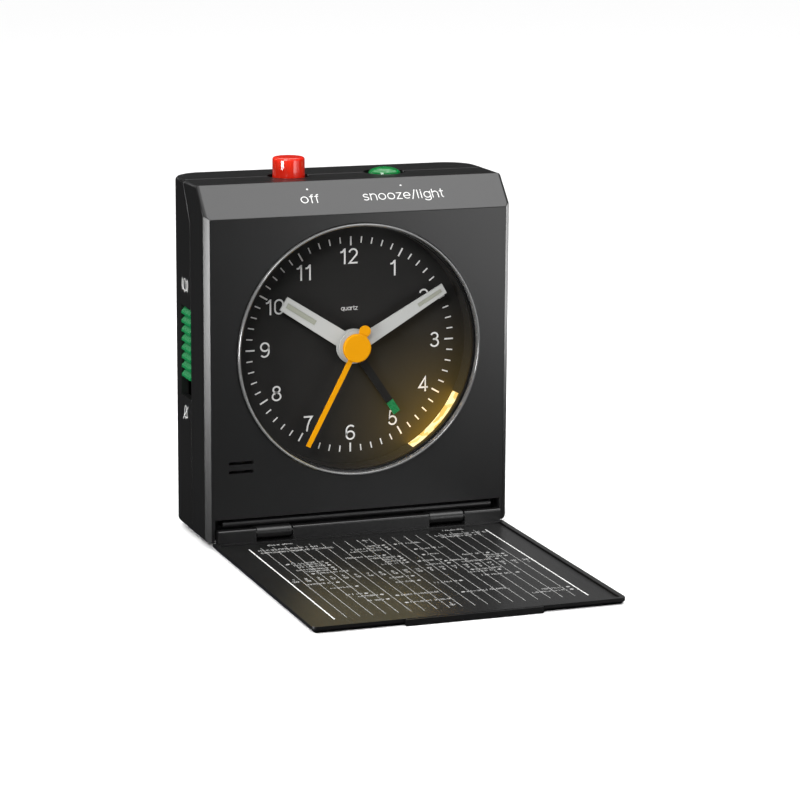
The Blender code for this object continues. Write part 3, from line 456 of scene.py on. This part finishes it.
def side_steps(points, closed):
    """Each point's direction to the left, lengthened at corners to keep the width even."""
    count = len(points)
    found = []
    for i in range(count):
        before = points[i - 1] if i or closed else points[i]
        after = points[(i + 1) % count] if i < count - 1 or closed else points[i]
        runs = [Vector(b) - Vector(a) for a, b in ((before, points[i]), (points[i], after))]
        runs = [r.normalized() for r in runs if r.length > 1e-9]
        normals = [Vector((-r.y, r.x)) for r in runs]
        middle = sum(normals, Vector((0, 0))).normalized()
        found.append(middle / max(0.45, middle.dot(normals[0])))
    return found


def stroke(bm, flat, points, width):
    """A raised stroke of even width, closed into a ring if it ends where it starts."""
    closed = len(points) > 3 and (Vector(points[0]) - Vector(points[-1])).length < 1e-6
    path = points[:-1] if closed else points
    rows = []
    for (u, v), side in zip(path, side_steps(path, closed)):
        du, dv = side.x * width / 2, side.y * width / 2
        rows.append([bm.verts.new(flat.point(u + s * du, v + s * dv, lift))
                     for s, lift in ((1, INK), (-1, INK), (-1, -INK / 2), (1, -INK / 2))])
    joints = list(zip(rows, rows[1:])) + ([(rows[-1], rows[0])] if closed else [])
    for near, far in joints:
        for k in range(4):
            bm.faces.new((near[k], near[(k + 1) % 4], far[(k + 1) % 4], far[k]))
    if not closed:
        bm.faces.new(rows[0][::-1])
        bm.faces.new(rows[-1])


def dot(bm, flat, u, v, radius, sides=16):
    """A raised round dot."""
    turns = [2 * math.pi * i / sides for i in range(sides)]
    top, low = ([bm.verts.new(flat.point(u + radius * math.cos(t), v + radius * math.sin(t), lift))
                 for t in turns] for lift in (INK, -INK / 2))
    bm.faces.new(top)
    bm.faces.new(low[::-1])
    for i in range(sides):
        j = (i + 1) % sides
        bm.faces.new((top[i], low[i], low[j], top[j]))


# Letters and figures as strokes in a square whose height is a figure's height: (width, strokes).
LOW, HIGH = 0.06, 0.94
SIX = [curve((0.31, 0.62), 0.25, 0.32, 45, 180) + [(0.06, 0.33)],
       ring((0.285, 0.315), 0.225, 0.255)]
GLYPHS = {
    "0": (0.57, [curve((0.285, 0.68), 0.225, 0.26, 0, 180)
                 + curve((0.285, 0.32), 0.225, 0.26, 180, 360) + [(0.51, 0.68)]]),
    "1": (0.36, [[(0.30, 0.0), (0.30, 1.0)], [(0.05, 0.76), (0.17, 0.785), (0.27, 0.94)]]),
    "2": (0.56, [curve((0.28, 0.70), 0.22, 0.24, 172, -38) + [(0.07, LOW), (0.53, LOW)]]),
    "3": (0.56, [curve((0.27, 0.735), 0.195, 0.205, 160, -90),
                 [(0.19, 0.53)] + curve((0.275, 0.295), 0.225, 0.235, 90, -162)]),
    "4": (0.58, [[(0.42, 0.0), (0.42, 0.93), (0.06, 0.27), (0.57, 0.27)]]),
    "5": (0.56, [[(0.49, HIGH), (0.15, HIGH), (0.10, 0.47)]
                 + curve((0.28, 0.33), 0.225, 0.27, 138, -158)]),
    "6": (0.57, SIX),
    "7": (0.55, [[(0.04, HIGH), (0.50, HIGH), (0.36, 0.68), (0.26, 0.36), (0.21, 0.0)]]),
    "8": (0.57, [ring((0.285, 0.745), 0.185, 0.195), ring((0.285, 0.30), 0.23, 0.24)]),
    "9": (0.57, [[(0.57 - u, 1.0 - v) for u, v in part] for part in SIX]),
    "a": (0.76, [ring((0.38, 0.40), 0.317, 0.337), [(0.70, 0.80), (0.70, 0.0)]]),
    "e": (0.76, [[(0.07, 0.40), (0.69, 0.40)] + curve((0.38, 0.40), 0.317, 0.337, 6, 318, 18)]),
    "f": (0.40, [[(0.40, 0.937)] + curve((0.33, 0.80), 0.15, 0.137, 90, 180, 6) + [(0.18, 0.0)],
                 [(0.0, 0.737), (0.38, 0.737)]]),
    "g": (0.76, [ring((0.38, 0.40), 0.317, 0.337),
                 [(0.70, 0.80)] + curve((0.38, -0.02), 0.317, 0.22, 0, -160, 10)]),
    "h": (0.68, [[(0.063, 0.0), (0.063, 1.0)],
                 curve((0.34, 0.46), 0.277, 0.277, 180, 0) + [(0.617, 0.0)]]),
    "i": (0.24, [[(0.12, 0.0), (0.12, 0.80)], [(0.12, 0.89), (0.12, 1.0)]]),
    "l": (0.24, [[(0.12, 0.0), (0.12, 1.0)]]),
    "n": (0.70, [[(0.063, 0.0), (0.063, 0.80)],
                 curve((0.35, 0.46), 0.287, 0.277, 180, 0) + [(0.637, 0.0)]]),
    "o": (0.80, [ring((0.40, 0.40), 0.337, 0.337)]),
    "q": (0.76, [ring((0.38, 0.40), 0.317, 0.337), [(0.70, 0.80), (0.70, -0.22)]]),
    "r": (0.45, [[(0.063, 0.0), (0.063, 0.80)], curve((0.32, 0.46), 0.257, 0.277, 180, 62, 7)]),
    "s": (0.62, [curve((0.31, 0.572), 0.235, 0.165, 24, 262, 9)
                 + curve((0.31, 0.232), 0.247, 0.169, 82, -156, 9)]),
    "t": (0.42, [[(0.19, 1.0)] + curve((0.34, 0.21), 0.15, 0.147, 180, 278, 6),
                 [(0.0, 0.737), (0.40, 0.737)]]),
    "u": (0.70, [[(0.637, 0.0), (0.637, 0.80)],
                 [(0.063, 0.80)] + curve((0.35, 0.34), 0.287, 0.277, 180, 360)]),
    "z": (0.60, [[(0.04, 0.737), (0.54, 0.737), (0.05, 0.063), (0.57, 0.063)]]),
    "/": (0.40, [[(0.02, -0.06), (0.38, 1.03)]]),
}


def text(bm, flat, words, u, v, height, weight, spacing, wide=1.0):
    """Words centred on (u, v), v being their baseline; wide stretches the letters sideways."""
    width = wide * sum(GLYPHS[c][0] for c in words) + spacing * (len(words) - 1)
    left = u - width * height / 2
    for letter in words:
        advance, strokes = GLYPHS[letter]
        for points in strokes:
            drawn = [(left + a * wide * height, v + b * height) for a, b in points]
            stroke(bm, flat, drawn, weight)
        left += (advance * wide + spacing) * height


DIAL_FACE = Flat((0, DIAL_Y, DIAL_Z), (1, 0, 0), (0, 0, 1))
SLOPE_UP = Vector((0, SLOPE_HIGH[0] - SLOPE_LOW[0], SLOPE_HIGH[1] - SLOPE_LOW[1]))
SLOPE = Flat((0, *SLOPE_LOW), (1, 0, 0), SLOPE_UP.normalized())
LEFT_SIDE = Flat((SIDE_X, 0, CASE_BASE), (0, -1, 0), (0, 0, 1))
BACK = Flat((0, CASE_DEPTH, CASE_BASE), (-1, 0, 0), (0, 0, 1))
DOOR = Flat((0, box_mm("battery_door")[1].y - FRONT, CASE_BASE), (-1, 0, 0), (0, 0, 1))
CARD = Flat((0, 0, LABEL_HIGH.z), (1, 0, 0), (0, 1, 0))

NUMERAL_HEIGHT, NUMERAL_RADIUS = 3.45, 19.65
NUDGED = {1: (-0.1, -0.45), 10: (-0.4, -0.5), 11: (-1.0, -0.5), 12: (-0.45, 0.0)}  # shifts of single numerals, across and up, in mm
TICK_OUTER = 24.0
HOUR_TICK, MINUTE_TICK = (22.0, 0.34), (22.6, 0.27)       # inner radius and width


def dial_print():
    numerals = bmesh.new()
    for hour in range(1, 13):
        turn = math.radians(30 * hour)
        across, up = NUDGED.get(hour, (0.0, 0.0))
        text(numerals, DIAL_FACE, str(hour), NUMERAL_RADIUS * math.sin(turn) + across,
             NUMERAL_RADIUS * math.cos(turn) + up - NUMERAL_HEIGHT / 2, NUMERAL_HEIGHT,
             0.36, 0.16, 1.17)
    piece("dial_numerals", numerals, PRINT, "case")
    ticks = bmesh.new()
    for minute in range(60):
        turn = math.radians(6 * minute)
        inner, width = HOUR_TICK if minute % 5 == 0 else MINUTE_TICK
        ends = [(r * math.sin(turn), r * math.cos(turn)) for r in (inner, TICK_OUTER)]
        stroke(ticks, DIAL_FACE, ends, width)
    piece("dial_ticks", ticks, PRINT, "case")
    word = bmesh.new()
    text(word, DIAL_FACE, "quartz", -0.3, 7.7, 0.93, 0.11, 0.08)
    piece("dial_word", word, PRINT, "case")


SLOPE_WORDS = (("off", -10.5, 0.115), ("snooze/light", 10.9, 0.10))     # word, middle, spacing
SLOPE_BASELINE, SLOPE_DOTS = 3.25, 6.9


def slope_print():
    marks = bmesh.new()
    for word, middle, spacing in SLOPE_WORDS:
        text(marks, SLOPE, word, middle, SLOPE_BASELINE, 2.3, 0.21, spacing)
    for _, middle, _ in SLOPE_WORDS:
        dot(marks, SLOPE, middle, SLOPE_DOTS, 0.22)
    piece("button_marks", marks, PRINT, "case")


def bell(bm, flat, u, v, size):
    """A small bell outline with its clapper."""
    body = [(-0.42, -0.30), (-0.29, -0.14)] + curve((0, 0.12), 0.25, 0.34, 180, 0, 12)
    body += [(0.29, -0.14), (0.42, -0.30), (-0.42, -0.30)]
    stroke(bm, flat, [(u + a * size, v + b * size) for a, b in body], 0.17)
    stroke(bm, flat, curve((u, v - 0.34 * size), 0.09 * size, 0.1 * size, 180, 360, 6), 0.16)


def side_print():
    """A ringing bell over the slider's upper end and a crossed-out one under its lower end."""
    marks = bmesh.new()
    bell(marks, LEFT_SIDE, -15.1, 54.2, 3.2)
    for start, stop in ((-36, 36), (144, 216)):
        for reach in (1.75, 2.3):
            stroke(marks, LEFT_SIDE, curve((-15.1, 54.4), reach, reach, start, stop, 8), 0.14)
    bell(marks, LEFT_SIDE, -15.2, 26.0, 3.2)
    stroke(marks, LEFT_SIDE, [(-17.2, 24.3), (-13.2, 27.6)], 0.17)
    piece("alarm_marks", marks, PRINT, "case")


def turn_arrow(bm, u, v, radius):
    """An arc over a setting knob with an arrowhead at its end."""
    arc = curve((u, v), radius, radius, 140, 46, 14)
    stroke(bm, BACK, arc, 0.3)
    tip = Vector((u + radius * math.cos(math.radians(40)), v + radius * math.sin(math.radians(40))))
    barbs = [tip + Vector((-0.25, 1.45)), tip, tip + Vector((-1.4, 0.15))]
    stroke(bm, BACK, [tuple(point) for point in barbs], 0.3)


CELL_SIGN = (17.0, 11.0)          # middle of the cell's picture on its door


def back_print():
    """Turning arrows and a small picture for each setting knob, and the cell on its door."""
    marks = bmesh.new()
    for knob in ("time_set_knob", "alarm_set_knob"):
        low, high = box_mm(knob)
        u, v, radius = -(low.x + high.x) / 2, (low.z + high.z) / 2 - CASE_BASE, (high.x - low.x) / 2
        turn_arrow(marks, u, v, radius + 2.2)
        picture_v = v - radius - 4.0
        if knob == "alarm_set_knob":
            bell(marks, BACK, u, picture_v, 3.6)
        else:
            stroke(marks, BACK, ring((u, picture_v), 1.7, 1.7), 0.24)
            stroke(marks, BACK, [(u, picture_v + 1.2), (u, picture_v), (u + 0.85, picture_v)], 0.24)
    piece("knob_marks", marks, PRINT, "case")
    door = bmesh.new()
    u, v = CELL_SIGN
    for path in ([(-6, -2.4), (6, -2.4), (6, 2.4), (-6, 2.4), (-6, -2.4)],
                 [(6.0, -0.9), (6.9, -0.9), (6.9, 0.9), (6.0, 0.9)],
                 [(3.0, 0), (4.8, 0)], [(3.9, -0.9), (3.9, 0.9)], [(-4.8, 0), (-3.0, 0)]):
        stroke(door, DOOR, [(u + a, v + b) for a, b in path], 0.26)
    piece("door_marks", door, PRINT, "door")


# ---- lid chart -----------------------------------------------------------------------------------
CHART_HALF = 27.3
ZONES = 20
CHART_BACK, CHART_FRONT = -5.9, -62.8
# Rows of a chart: the zone of the dot, depth, letters, side that the letters are on.
ENTRIES = (
    (10, 11.9, 4, -1), (11, 11.9, 7, 1), (10, 13.7, 10, -1), (10, 15.4, 11, -1), (12, 17.3, 8, 1),
    (9, 19.9, 11, -1), (1, 20.6, 10, 1), (4, 22.0, 9, -1), (10, 21.8, 8, -1), (12, 22.1, 4, 1),
    (4, 23.7, 8, -1), (10, 23.4, 5, -1), (10, 25.1, 5, -1), (17, 24.9, 7, -1), (4, 25.8, 10, -1),
    (10, 26.9, 7, -1), (11, 26.9, 6, 1), (18, 26.7, 5, -1), (4, 27.5, 8, -1), (13, 28.4, 6, 1),
    (18, 28.4, 5, -1), (2, 29.4, 10, 1), (13, 30.2, 6, -1), (17, 30.2, 10, -1), (3, 37.3, 8, -1),
    (9, 37.6, 6, -1), (14, 36.8, 8, 1), (16, 38.5, 9, -1), (4, 41.4, 7, -1), (9, 41.3, 6, -1),
    (17, 41.8, 10, -1), (12, 44.2, 7, -1), (4, 47.2, 5, -1), (5, 49.1, 6, -1), (6, 50.8, 12, 1),
    (5, 52.7, 5, -1), (11, 52.6, 13, 1), (6, 56.4, 12, 1), (19, 55.9, 7, -1), (19, 57.8, 11, -1))
NUMBER_ROWS = (33.3, 35.0)
LETTER_STEP, LETTER_H = 0.72, 0.92
LETTER_FORMS = (                  # plain marks that only look like small lettering from afar
    [[(0, 0), (0, 1)]],
    [[(0, 0), (0, 0.7), (0.5, 0.7), (0.5, 0)]],
    [[(0, 0), (0.5, 0), (0.5, 0.7), (0, 0.7), (0, 0)]],
    [[(0.5, 0), (0, 0), (0, 0.7), (0.5, 0.7)]],
    [[(0, 0.7), (0, 0), (0.5, 0)]],
    [[(0, 0.7), (0.5, 0.7), (0.5, 0), (0, 0)]],
    [[(0.1, 0), (0.1, 0.7)], [(0.1, 0.35), (0.5, 0.35)]])


def zone_x(zone):
    return -CHART_HALF + 2 * CHART_HALF * zone / ZONES


def letter_row(bm, rng, start, depth, count, height, width):
    """A row of letter-like marks from start towards +x."""
    for i in range(count):
        left = start + i * LETTER_STEP * height / LETTER_H
        for form in LETTER_FORMS[rng.randrange(len(LETTER_FORMS))]:
            drawn = [(left + a * height, -depth + (b - 0.35) * height) for a, b in form]
            stroke(bm, CARD, drawn, width)


def chart_print():
    rng = random.Random(7)
    edges, lines = bmesh.new(), bmesh.new()
    for zone in range(ZONES + 1):
        x = zone_x(zone)
        if zone in (0, ZONES):
            stroke(edges, CARD, [(x, CHART_BACK - 0.4), (x, CHART_FRONT - 0.4)], 0.28)
        else:
            stroke(lines, CARD, [(x, CHART_BACK), (x, CHART_FRONT)], 0.095)
    piece("chart_edges", edges, PRINT, "lid")
    piece("chart_lines", lines, CARD_PRINT, "lid")
    words = bmesh.new()
    for zone, depth, letters, side in ENTRIES:
        x = zone_x(zone + 0.5)
        dot(words, CARD, x, -depth, 0.42, 12)
        start = x + 0.9 if side > 0 else x - 0.7 - letters * LETTER_STEP
        letter_row(words, rng, start, depth, letters, LETTER_H, 0.115)
    for start, depth, letters, height in ((-25.7, 8.1, 15, 1.15), (-25.7, 10.1, 20, 1.05),
                                          (14.8, 8.0, 15, 1.1), (15.6, 9.6, 12, 1.0),
                                          (-22.4, 4.3, 9, 0.8), (18.0, 4.3, 8, 0.8)):
        letter_row(words, rng, start, depth, letters, height, 0.15)
    for row in NUMBER_ROWS:
        for zone in range(ZONES):
            number = zone + 1 if row == NUMBER_ROWS[0] else ZONES - zone
            text(words, CARD, str(number), zone_x(zone + 0.5), -row, 1.05, 0.14, 0.14)
    for depth, way in ((7.4, 1), (60.3, -1)):
        stroke(words, CARD, [(-1.3, -depth - way * 1.3), (-1.3, -depth + way * 1.1)], 0.14)
        stroke(words, CARD, [(-1.9, -depth + way * 0.3), (-1.3, -depth + way * 1.1),
                             (-0.7, -depth + way * 0.3)], 0.14)
    piece("chart_words", words, CARD_PRINT, "lid")


# ---- lens ----------------------------------------------------------------------------------------
LENS_SIDES = 144


def lens():
    """The clear pane, and the bright rounded edge round it."""
    front, back = LENS_LOW.y - FRONT, LENS_HIGH.y - FRONT
    outer = LENS_HIGH.x
    glass = turned([(0, front + 0.5), (outer - 0.7, front + 0.5), (outer - 0.7, back), (0, back)],
                   LENS_SIDES)
    pane = piece("lens_glass", glass, LENS, "case")
    pane.visible_shadow = False
    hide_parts("lens")
    middle, reach = outer - 0.27, 0.26
    bulge = [(middle + reach * math.cos(t), front + reach - reach * math.sin(t))
             for t in (math.pi * i / 8 for i in range(9))]
    rim = turned([(middle + reach, back)] + bulge + [(middle - reach, back)], LENS_SIDES)
    piece("lens_rim", rim, RIM, "case")


# ---- stage ---------------------------------------------------------------------------------------
def floor():
    """A plain floor: pale to the camera, dark to the other rays so that it casts no light up."""
    bm = bmesh.new()
    bmesh.ops.create_grid(bm, x_segments=1, y_segments=1, size=6.0)
    mesh = bpy.data.meshes.new("floor")
    bm.to_mesh(mesh)
    bm.free()
    made = bpy.data.objects.new("floor", mesh)
    bpy.context.scene.collection.objects.link(made)
    finish, tree, shader = new_material("floor_paper")
    path = tree.nodes.new("ShaderNodeLightPath")
    ramp = tree.nodes.new("ShaderNodeMix")
    ramp.data_type = "RGBA"
    ramp.inputs["A"].default_value = (0.02, 0.02, 0.02, 1)
    ramp.inputs["B"].default_value = (0.95, 0.95, 0.95, 1)
    tree.links.new(path.outputs["Is Camera Ray"], ramp.inputs["Factor"])
    tree.links.new(ramp.outputs["Result"], shader.inputs["Base Color"])
    shader.inputs["Roughness"].default_value = 1.0
    shader.inputs["Specular IOR Level"].default_value = 0.0
    mesh.materials.append(finish)


def soft_light(name, place, target, size, power, colour=(1, 1, 1)):
    """A rectangular soft light, with its place and target in metres."""
    data = bpy.data.lights.new(name, "AREA")
    data.shape = "RECTANGLE"
    data.size, data.size_y = size
    data.energy = power
    data.color = colour
    made = bpy.data.objects.new(name, data)
    bpy.context.scene.collection.objects.link(made)
    made.location = place
    made.rotation_euler = (Vector(target) - Vector(place)).to_track_quat("-Z", "Y").to_euler()
    made.visible_camera = False


def lights():
    world = bpy.data.worlds.new("studio")
    bpy.context.scene.world = world
    world.use_nodes = True
    background = world.node_tree.nodes["Background"]
    background.inputs["Color"].default_value = (1, 1, 1, 1)
    background.inputs["Strength"].default_value = 0.022
    sky = bpy.data.lights.new("overhead", "SUN")
    sky.energy = 3.1
    sky.angle = math.radians(100)
    top = bpy.data.objects.new("overhead", sky)
    bpy.context.scene.collection.objects.link(top)
    top.location = (0, 0, 1)
    soft_light("left_box", (-0.200, -0.062, 0.034), (-0.034, 0.001, 0.068), (0.065, 0.055), 0.43)
    soft_light("right_box", (0.205, 0.062, 0.036), (0.034, 0.001, 0.068), (0.065, 0.055), 0.09)
    soft_light("front_box", (0.155, -0.20, 0.040), (0.02, 0.0, 0.055), (0.15, 0.13), 0.24)
    soft_light("top_box", (0.15, -0.08, 0.50), (0.0, 0.0, 0.07), (0.30, 0.30), 1.0)
    soft_light("back_box", (0.105, 0.16, 0.040), (0.02, -0.04, 0.015), (0.11, 0.075), 0.0078)
    soft_light("lamp_on_lid", spot(-4, -4, 21), spot(-22, -50, 12), (0.036, 0.014), 0.0008,
               (1.0, 0.85, 0.38))
    soft_light("fill", (-0.45, -0.65, 0.55), (0.0, 0.0, 0.04), (0.25, 0.25), 4.5)
    soft_light("rear_fill", (-0.40, 0.55, 0.45), (0.0, 0.02, 0.04), (0.25, 0.25), 2.0)


def camera():
    azimuth, elevation, roll = math.radians(20.08), math.radians(11.91), math.radians(0.34)
    distance, aim = 663.47, spot(9.32, 0.0, 28.85 + CASE_BASE)
    back = Vector((-math.sin(azimuth) * math.cos(elevation),
                   -math.cos(azimuth) * math.cos(elevation), math.sin(elevation)))
    data = bpy.data.cameras.new("camera")
    data.lens = 136.37
    data.sensor_width = 36.0
    data.clip_start = 0.05
    made = bpy.data.objects.new("camera", data)
    bpy.context.scene.collection.objects.link(made)
    turn = (-back).to_track_quat("-Z", "Y").to_matrix() @ Matrix.Rotation(roll, 3, "Z")
    made.matrix_world = Matrix.Translation(aim + back * distance * MM) @ turn.to_4x4()
    bpy.context.scene.camera = made


def spring(node):
    """A copy of a button's spring with its own mesh, riding on the case so that its foot stays in
    place.
    """
    source = frame["nodes"][node]
    made = bpy.data.objects.new(node + "_coil", source.data.copy())
    bpy.context.scene.collection.objects.link(made)
    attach(made, "case")
    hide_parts(node)
    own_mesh(made)


paint_frame()
spring("off_spring")
spring("snooze_spring")
refined("front_case", CASE, 0.2)
refined("rear_case", CASE, 0.12, lips=0.3)
refined("battery_door", CASE, 0.2)
refined("lid", LID, 0.25)
for knob in ("time_set_knob", "alarm_set_knob"):
    refined(knob, KNOB, 0.15)
lens()
dial_print()
slope_print()
side_print()
back_print()
chart_print()
floor()
lights()
camera()
bpy.context.scene.view_settings.view_transform = "Standard"
